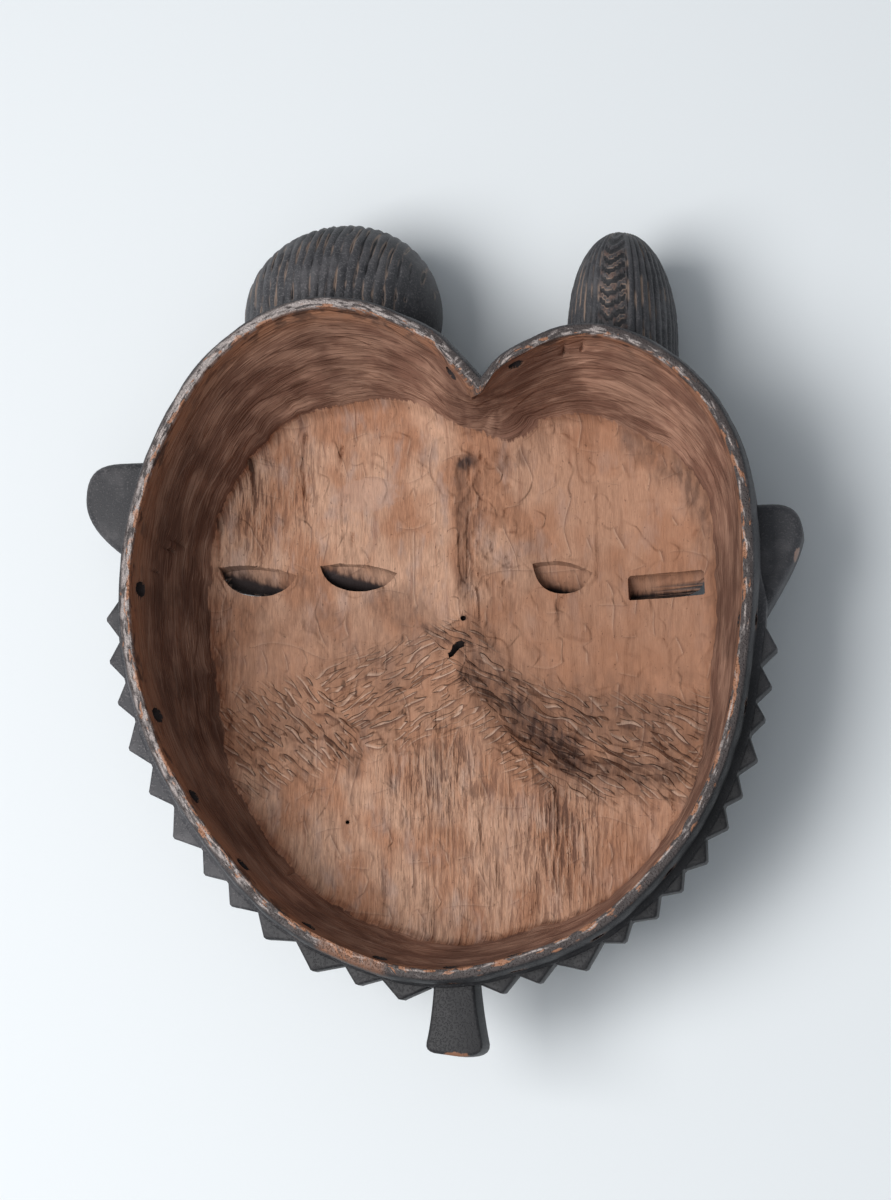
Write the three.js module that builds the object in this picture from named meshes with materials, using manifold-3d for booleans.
// A twin-faced dance mask carved from one block of wood, lying on its faces with the hollow up.
// Millimetres. Seen from the wearer's side, +X is to the right and +Y to the crown; +Z runs from the faces to the rim.
import * as THREE from "three";
import { mergeVertices } from "three/addons/utils/BufferGeometryUtils.js";
import Module from "manifold-3d";

const wasm = await Module();
wasm.setup();

// Heights above the table, which the noses and the two buns touch.
const RIM_Z = 86;
const COLLAR_BACK_Z = 74;
const COLLAR_FRONT_Z = 63;
const EAR_BACK_Z = 64;
const PEG_BACK_Z = 72;
const FACE_Z = 15;
const FLOOR_Z = 27;
const JAW_FLOOR_Z = 36;

// Widths measured inwards from the rim's outer edge.
const RIM_EDGE = 1.4;
const RIM_WIDTH = 4.2;
const WALL_DEPTH = 55;
const WALL_SWELL = 0.7;
const COLLAR_STEP = { atPeg: 1, atSides: 2.8 };
const TOOTH_RISE = 0.34; // a tooth's height over its pitch
const CLEFT_LEAN = 8;

// The rim's outer edge from the cleft between the crowns, clockwise: x, y and the width of the sloping inner wall.
const CLEFT = [13, 98, 14];
const OUTLINE = [
  CLEFT,
  [22, 107, 15],
  [43, 115.6, 20],
  [63, 114.4, 21],
  [84, 102.6, 20],
  [100, 83.8, 17],
  [109, 60, 16],
  [111.4, 30, 16],
  [109.6, 0, 16],
  [104, -33, 14],
  [94, -59, 12.5],
  [79.3, -81, 12],
  [55, -103.4, 12.5],
  [27, -115.3, 15],
  [-3, -120.4, 15.5],
  [-32, -114.7, 15],
  [-63, -97.8, 13],
  [-89, -69.6, 13],
  [-108.5, -38, 15],
  [-119, -6, 19],
  [-122, 24, 20],
  [-119, 52, 19],
  [-109, 82, 18],
  [-90, 111.2, 20],
  [-62, 129, 25],
  [-34, 129.8, 26],
  [-7, 118, 22],
  [4, 108, 17],
  CLEFT,
];
const POLE = new THREE.Vector2(-5, 8); // every section of the shell runs through here
const AROUND = 64;

// The two faces: the middle of each one's eye line, and the slots that pierce the eyes, by their lower edges.
const FACES = [
  { x: -64, y: 33 },
  { x: 54.7, y: 28 },
];
const FACE_HALF_WIDTH = 52;
const EYE_SPREAD = 19.9;
const SLOTS = [
  { x: -83.6, y: 29.6, length: 30, height: 10.5, turn: -2, pointed: true },
  { x: -44.6, y: 30.2, length: 31, height: 11, turn: -7, pointed: true },
  { x: 34.4, y: 27, length: 23, height: 11, turn: -4, pointed: true },
  { x: 74.6, y: 24.3, length: 29, height: 9.5, turn: 2, pointed: false },
];

// The collar's teeth and the lacing holes, placed by their distance along the rim from the cleft.
const TEETH = [
  { count: 13, from: 185, to: 361 },
  { count: 12, from: 379, to: 577 },
];
const LACING = [14, 185, 216, 281, 315, 346, 370, 398, 428, 463, 495, 530, 580, 777];

const wood = new THREE.MeshStandardMaterial({ color: 0x5a3524, roughness: 0.75, metalness: 0 });

const mix = THREE.MathUtils.lerp;
const radians = THREE.MathUtils.degToRad;
const smoothStep = (t) => THREE.MathUtils.smoothstep(t, 0, 1);
const bump = (a, b) => Math.exp(-(a * a + b * b));
const smoothMin = (a, b, k) => (a + b - Math.hypot(a - b, k)) / 2;
const smoothMax = (a, b, k) => (a + b + Math.hypot(a - b, k)) / 2;

// A geometry as a closed solid, and back again.
function solidOf(geometry) {
  const plain = geometry.clone();
  plain.deleteAttribute("normal");
  plain.deleteAttribute("uv");
  const merged = mergeVertices(plain, 1e-4);
  const corners = merged.index.array;
  const triVerts = [];
  for (let i = 0; i < corners.length; i += 3) {
    const [a, b, c] = [corners[i], corners[i + 1], corners[i + 2]];
    if (a !== b && b !== c && c !== a) triVerts.push(a, b, c);
  }
  const vertProperties = merged.attributes.position.array;
  return new wasm.Manifold(
    new wasm.Mesh({ numProp: 3, vertProperties, triVerts: new Uint32Array(triVerts) }),
  );
}

function meshOf(solid, name, material) {
  const { vertProperties, triVerts } = solid.getMesh();
  const geometry = new THREE.BufferGeometry()
    .setAttribute("position", new THREE.BufferAttribute(vertProperties, 3))
    .setIndex(new THREE.BufferAttribute(triVerts, 1));
  geometry.computeVertexNormals();
  const mesh = new THREE.Mesh(geometry, material);
  mesh.name = name;
  return mesh;
}

// Moves every corner of a geometry by a function of its place and number.
function reshaped(geometry, move) {
  const place = geometry.attributes.position;
  const point = new THREE.Vector3();
  for (let i = 0; i < place.count; i += 1) {
    point.fromBufferAttribute(place, i);
    move(point, i);
    place.setXYZ(i, point.x, point.y, point.z);
  }
  return geometry;
}

// The outline as a curve with a sharp cleft; its third number is the inner wall's width.
const outline = new THREE.CatmullRomCurve3(
  OUTLINE.map((station) => new THREE.Vector3(...station)),
  false,
  "catmullrom",
  0.5,
);
outline.arcLengthDivisions = 800;
const rimLength = outline.getLength();

function rimStation(distance) {
  const t = distance / rimLength;
  const tangent = outline.getTangentAt(t);
  return { point: outline.getPointAt(t), outward: Math.atan2(tangent.x, -tangent.y) };
}

// The hollow's floor: two face hollows that meet in a ridge, and a higher floor behind the jaws.
const jawLine = (x) => (x < 0 ? -4 + 0.3 * x : -38 + 34 * Math.exp(-x / 15));

function floorZ(x, y) {
  const hollow = (face) => FLOOR_Z + 7 * ((x - face.x) / FACE_HALF_WIDTH) ** 2;
  const faces = smoothMin(hollow(FACES[0]), hollow(FACES[1]), 3);
  const slope = x < 0 ? 34 : 26;
  return mix(faces, JAW_FLOOR_Z, smoothStep((jawLine(x) - y) / slope + 0.5));
}

function hollowZ(x, y, inset, wall) {
  const wallZ = RIM_Z - WALL_DEPTH * (Math.max(inset - RIM_WIDTH, 0) / wall) ** 0.8;
  return smoothMax(floorZ(x, y), wallZ, 4);
}

// The front: each face is a rounded plane with sockets, muzzle and chin, and the planes meet in a valley.
function faceZ(face, x, y) {
  const u = x - face.x;
  const v = y - face.y;
  const forehead = 5 * bump(u / 30, (v - 40) / 26);
  const sockets = 3.5 * (bump((u - EYE_SPREAD) / 13, v / 9) + bump((u + EYE_SPREAD) / 13, v / 9));
  const muzzle = 4 * bump(u / 15, (v + 56) / 12);
  const chin = 6 * bump(u / 16, (v + 86) / 12);
  return FACE_Z + 9 * (u / FACE_HALF_WIDTH) ** 2 - forehead + sockets - muzzle - chin;
}

function frontZ(x, y, inset) {
  const planes = smoothMin(faceZ(FACES[0], x, y), faceZ(FACES[1], x, y), 3);
  return planes + 34 * Math.exp(-inset / 11);
}

// Sections of the hollow and of the outside, on a ray from the outline to the pole, listed from top to bottom.
const FLOOR_RINGS = 5;
const WALL_SHARES = [0.08, 0.26, 0.5, 0.75, 0.95, 1.15];
const OUTER_WALL = [
  { inset: RIM_EDGE, z: RIM_Z, collar: 0 },
  { inset: 0, z: RIM_Z - 1.4, collar: 0 },
  { inset: -WALL_SWELL, z: COLLAR_BACK_Z + 1, collar: 0 },
  { inset: -WALL_SWELL, z: COLLAR_BACK_Z, collar: 1 },
  { inset: -WALL_SWELL, z: COLLAR_FRONT_Z, collar: 1 },
  { inset: -WALL_SWELL, z: COLLAR_FRONT_Z - 3, collar: 0 },
];
const FRONT_INSETS = [0.8, 5, 11, 20, 32];
const FRONT_CORE_RINGS = 4;
const LID_Z = RIM_Z + 20;

// How far the collar stands out from the wall: nothing above the ears, and less at the peg than at the sides.
function collarStep(y) {
  return smoothStep((26 - y) / 14) * mix(COLLAR_STEP.atPeg, COLLAR_STEP.atSides, smoothStep((y + 118) / 45));
}

// The hollow, whose ridge below the cleft leans to the left on its way down.
function hollowSection({ x, y, wall, slant, reach, place }) {
  const nearCleft = bump((x - CLEFT[0]) / 32, (y - CLEFT[1]) / 32);
  const foot = RIM_WIDTH + wall * WALL_SHARES[WALL_SHARES.length - 1];
  const insets = WALL_SHARES.map((share) => RIM_WIDTH + share * wall);
  for (let k = 1; k < FLOOR_RINGS; k += 1) insets.push(mix(foot, reach, k / FLOOR_RINGS));
  const edge = place(RIM_WIDTH * slant);
  const rings = [[...place(reach), LID_Z], [...edge, LID_Z], [...edge, RIM_Z]];
  for (const inset of insets) {
    const at = place(inset + RIM_WIDTH * (slant - 1) * (1 - inset / reach));
    const down = inset / (RIM_WIDTH + wall);
    at[0] -= CLEFT_LEAN * nearCleft * (down * Math.exp(1 - down)) ** 2;
    rings.push([...at, hollowZ(...at, inset, wall)]);
  }
  rings.push([POLE.x, POLE.y, floorZ(POLE.x, POLE.y)]);
  return rings;
}

// The outside, closed at the top by a flat that the hollow is cut from.
function outerSection({ y, slant, reach, place }) {
  const rings = [[...place(reach), RIM_Z]];
  for (const { inset, z, collar } of OUTER_WALL) {
    rings.push([...place(inset * slant - collar * collarStep(y)), z]);
  }
  const insets = [...FRONT_INSETS];
  const last = FRONT_INSETS[FRONT_INSETS.length - 1];
  for (let k = 1; k < FRONT_CORE_RINGS; k += 1) insets.push(mix(last, reach, k / FRONT_CORE_RINGS));
  for (const inset of insets) rings.push([...place(inset), frontZ(...place(inset), inset)]);
  rings.push([POLE.x, POLE.y, frontZ(POLE.x, POLE.y, Infinity)]);
  return rings;
}

// How much longer a ray's way across the rim is than the rim is wide.
function slantAt(points, i) {
  const crossing = (a, b) => {
    const along = new THREE.Vector2(b.x - a.x, b.y - a.y).normalize();
    const ray = new THREE.Vector2(a.x - POLE.x, a.y - POLE.y).normalize();
    return 1 / Math.abs(along.cross(ray));
  };
  const here = points[i];
  const before = points[(i + AROUND - 1) % AROUND];
  const after = points[i + 1];
  return (crossing(before, here) + crossing(here, after)) / 2;
}

// A ball whose meridians are laid on the sections.
function ballOf(sectionOf) {
  const points = outline.getSpacedPoints(AROUND);
  const sections = [];
  for (let i = 0; i < AROUND; i += 1) {
    const { x, y, z: wall } = points[i];
    const reach = Math.hypot(x - POLE.x, y - POLE.y);
    const place = (inset) => [mix(x, POLE.x, inset / reach), mix(y, POLE.y, inset / reach)];
    sections.push(sectionOf({ x, y, wall, slant: slantAt(points, i), reach, place }));
  }
  const rows = sections[0].length - 1;
  const ball = new THREE.SphereGeometry(1, AROUND, rows);
  return solidOf(
    reshaped(ball, (point, i) => {
      const column = i % (AROUND + 1);
      const row = (i - column) / (AROUND + 1);
      point.set(...sections[(AROUND - column) % AROUND][row]);
    }),
  );
}

// The collar's teeth: blunt triangles as thick as the collar, each on its own stretch of the rim.
function teeth({ count, from, to }) {
  const thickness = COLLAR_BACK_Z - COLLAR_FRONT_Z - 1.6;
  const pitch = (to - from) / count;
  const half = pitch / 2;
  const made = [];
  for (let k = 0; k < count; k += 1) {
    const { point, outward } = rimStation(from + (k + 0.5) * pitch);
    const root = WALL_SWELL + collarStep(point.y);
    const tip = root + TOOTH_RISE * pitch;
    const tooth = new THREE.Shape([
      new THREE.Vector2(-4, -half),
      new THREE.Vector2(root, -half),
      new THREE.Vector2(tip, -0.9),
      new THREE.Vector2(tip, 0.9),
      new THREE.Vector2(root, half),
      new THREE.Vector2(-4, half),
    ]);
    const geometry = new THREE.ExtrudeGeometry(tooth, { depth: thickness, bevelEnabled: false });
    geometry.rotateZ(outward);
    geometry.translate(point.x, point.y, COLLAR_FRONT_Z + 0.8);
    made.push(solidOf(geometry));
  }
  return made;
}

// An ear: a flat lobe, level on top, round at its reach and drawn in below.
function ear({ wallX, top, bottom, reach, side }) {
  const root = -9;
  const high = top - bottom;
  const lobe = new THREE.Shape();
  lobe.moveTo(root, bottom + 2);
  lobe.lineTo(0, bottom);
  lobe.bezierCurveTo(0.62 * reach, bottom + 0.22 * high, reach, bottom + 0.42 * high, reach, bottom + 0.66 * high);
  lobe.bezierCurveTo(reach, bottom + 0.88 * high, 0.76 * reach, top, 0.3 * reach, top);
  lobe.lineTo(root, top);
  const geometry = new THREE.ExtrudeGeometry(lobe, {
    depth: 8,
    curveSegments: 6,
    bevelThickness: 4,
    bevelSize: 3,
    bevelOffset: -3,
    bevelSegments: 2,
  });
  geometry.translate(0, 0, EAR_BACK_Z - 12);
  if (side < 0) geometry.rotateY(Math.PI).translate(0, 0, 2 * EAR_BACK_Z - 16);
  return solidOf(geometry.translate(wallX, 0, 0));
}

// The peg under the chins, flared to a square end.
function peg() {
  const flare = new THREE.Shape();
  flare.moveTo(-6.6, -112);
  flare.lineTo(-7, -124);
  flare.quadraticCurveTo(-7.6, -135, -10.6, -143.5);
  flare.lineTo(-8.6, -146.5);
  flare.lineTo(8.6, -146.5);
  flare.lineTo(11, -143.5);
  flare.quadraticCurveTo(8.4, -135, 7.4, -124);
  flare.lineTo(7, -112);
  const depth = 18;
  const geometry = new THREE.ExtrudeGeometry(flare, { depth, curveSegments: 3, bevelEnabled: false });
  return solidOf(geometry.translate(0.6, 0, PEG_BACK_Z - depth));
}

// The wide bun: an egg with its ribs running over it side by side, leaning towards the right.
function wideBun() {
  const middle = new THREE.Vector3(-48.5, 136, 35.5);
  const half = new THREE.Vector3(38.5, 36.4, 36);
  const ribs = 22;
  const rows = 2 * ribs;
  const segments = 12;
  const groove = 1;
  const egg = new THREE.SphereGeometry(1, segments, rows).rotateZ(Math.PI / 2);
  return solidOf(
    reshaped(egg, (point, i) => {
      const row = Math.floor(i / (segments + 1));
      const across = -1 + (2 * row) / rows;
      const round = Math.sqrt(1 - across * across);
      const turn = Math.atan2(point.y, point.z);
      const deep = row % 2 === 1 ? Math.min(groove, round * half.y) : 0;
      const lean = 0.14 * (across + 1) * (Math.sin(turn) - 0.5) * round;
      point.set(
        middle.x + (across + lean * round) * half.x,
        middle.y + Math.sin(turn) * (round * half.y - deep),
        middle.z + Math.cos(turn) * (round * half.z - deep),
      );
    }),
  );
}

// The narrow bun: a crest whose ribs run up to its blunt tip beside a plain band.
const CREST = { middle: new THREE.Vector3(60, 120, 35.5), half: new THREE.Vector3(21, 44, 36) };
const CREST_BAND = radians(17); // half the band's width, seen from the crest's axis

function narrowBun() {
  const { middle, half } = CREST;
  const columns = 56;
  const rows = 8;
  const groove = 1;
  const egg = new THREE.SphereGeometry(1, columns, rows);
  return solidOf(
    reshaped(egg, (point, i) => {
      const girth = Math.hypot(point.x, point.z);
      const turn = Math.atan2(point.x, point.z);
      const inBand = Math.abs(Math.sin(turn)) < Math.sin(CREST_BAND);
      const deep = i % (columns + 1) % 2 === 1 && !inBand ? groove * Math.min(1, 2 * girth) : 0;
      point.set(
        middle.x + Math.sin(turn) * (girth * half.x - deep),
        middle.y + Math.min(point.y * half.y, half.y - 1.4),
        middle.z + Math.cos(turn) * (girth * half.z - deep),
      );
    }),
  );
}

// The braid in that band: chevrons that open towards the tip.
function braid() {
  const { middle, half } = CREST;
  const arm = 5;
  const bar = 2;
  const rise = 4;
  const chevron = new THREE.Shape([
    new THREE.Vector2(-arm, rise + bar),
    new THREE.Vector2(-arm, rise),
    new THREE.Vector2(0, 0),
    new THREE.Vector2(arm, rise),
    new THREE.Vector2(arm, rise + bar),
    new THREE.Vector2(0, bar),
  ]);
  const made = [];
  for (let k = 0; k < 6; k += 1) {
    const turn = radians(4 + 9.5 * k);
    const geometry = new THREE.ExtrudeGeometry(chevron, { depth: 3, bevelEnabled: false });
    geometry.translate(0, 0, -2.2).rotateX(-turn);
    geometry.translate(middle.x, middle.y + Math.sin(turn) * half.y, middle.z + Math.cos(turn) * half.z);
    made.push(solidOf(geometry));
  }
  return made;
}

// What stands on each face: nose, lips, eyelids, brows and the edge of the hair.
function features(face) {
  const z = (u, v) => faceZ(face, face.x + u, face.y + v);
  const on = (u, v, sink = 0) => new THREE.Vector3(face.x + u, face.y + v, z(u, v) + sink);
  const made = [];
  const root = 12;
  const tip = -36;
  const rootHalf = 2.8;
  const tipHalf = 8;
  const nose = new THREE.CylinderGeometry(rootHalf, tipHalf, root - tip, 8);
  reshaped(nose, (point) => {
    const down = 0.5 - point.y / (root - tip);
    const v = mix(root, tip, down);
    const top = mix(z(0, root) - 2, -0.9, down);
    const side = point.z / mix(rootHalf, tipHalf, down);
    point.set(face.x + point.x, face.y + v, mix(top, z(0, v) + 4, (side + 1) / 2));
  });
  made.push(solidOf(nose));
  const egg = (u, v, half) => {
    const at = on(u, v);
    return solidOf(new THREE.SphereGeometry(1, 8, 5).scale(...half).translate(at.x, at.y, at.z));
  };
  made.push(egg(0, -52.5, [12, 4.6, 6.5]));
  made.push(egg(0, -60, [10.5, 4.4, 6]));
  const ridge = (half, steps, ...ends) => {
    const section = new THREE.Shape([
      new THREE.Vector2(-half, 0),
      new THREE.Vector2(0, -half),
      new THREE.Vector2(half, 0),
      new THREE.Vector2(0, half),
    ]);
    const path = ends.length === 3 ? new THREE.QuadraticBezierCurve3(...ends) : new THREE.CubicBezierCurve3(...ends);
    return solidOf(new THREE.ExtrudeGeometry(section, { steps, extrudePath: path }));
  };
  for (const side of [-1, 1]) {
    made.push(egg(side * EYE_SPREAD, 0, [14, 7, 4.4]));
    made.push(ridge(2.4, 4, on(side * 3, 10), on(side * 19, 26), on(side * 38, 5)));
  }
  made.push(ridge(2.6, 7, on(-40, 28, 1), on(-30, 68, -3), on(30, 68, -3), on(40, 28, 1)));
  return made;
}

// A slot through an eye: wide in the hollow, closing to a slit on the face.
function slot({ x, y, length, height, turn, pointed }) {
  const half = length / 2;
  const opening = new THREE.Shape();
  if (pointed) {
    opening.moveTo(-half, height);
    opening.quadraticCurveTo(-0.8 * half, 0, 0, 0);
    opening.quadraticCurveTo(0.75 * half, 0, half, 0.8 * height);
    opening.quadraticCurveTo(0, 1.1 * height, -half, height);
  } else {
    opening.moveTo(-half, 0);
    opening.lineTo(half, 0);
    opening.lineTo(half, height);
    opening.lineTo(-half, height);
  }
  const levels = [-1, FACE_Z, FLOOR_Z + 1, 52];
  const openness = [0.28, 0.28, 1, 1];
  const geometry = new THREE.ExtrudeGeometry(opening, {
    depth: 1,
    steps: levels.length - 1,
    curveSegments: 3,
    bevelEnabled: false,
  });
  reshaped(geometry, (point) => {
    const level = Math.round(point.z * (levels.length - 1));
    point.set(point.x, point.y * openness[level], levels[level]);
  });
  return solidOf(geometry.rotateZ(radians(turn)).translate(x, y, 0));
}

// A lacing hole, drilled outwards and up through the wall between the collar and the rim.
function lacingHole(distance) {
  const { point, outward } = rimStation(distance);
  const drill = new THREE.CylinderGeometry(1.8, 1.8, 30, 5).rotateZ(-Math.PI / 2);
  drill.rotateY(radians(-35)).rotateZ(outward);
  return solidOf(drill.translate(point.x, point.y, RIM_Z - 7.5));
}

// The small slanting hole where the two noses' sides meet the ridge.
function middleHole() {
  const drill = new THREE.CylinderGeometry(2.2, 2.2, 60, 6).rotateX(Math.PI / 2);
  drill.scale(1.4, 1, 1).rotateZ(radians(40));
  return solidOf(drill.translate(-4.7, 6.1, 30));
}

// Everything below the table's top, so that the noses and buns get small flats to lie on.
function underTable() {
  return solidOf(new THREE.BoxGeometry(400, 400, 20).translate(0, 0, -10));
}

function mask() {
  let body = ballOf(outerSection);
  const added = [
    wideBun(),
    narrowBun(),
    ...braid(),
    ear({ wallX: -121, top: 76, bottom: 36, reach: 21.6, side: -1 }),
    ear({ wallX: 110.5, top: 49, bottom: 7, reach: 17, side: 1 }),
    ...TEETH.flatMap(teeth),
    peg(),
    ...FACES.flatMap(features),
  ];
  for (const piece of added) body = body.add(piece);
  const cuts = [ballOf(hollowSection), ...SLOTS.map(slot), ...LACING.map(lacingHole), middleHole(), underTable()];
  for (const cut of cuts) body = body.subtract(cut);
  return meshOf(body, "mask", wood);
}

const object = new THREE.Group();
object.add(mask());
const middle = new THREE.Box3().setFromObject(object).getCenter(new THREE.Vector3());
object.position.set(-middle.x, -middle.y, 0);
export default object;
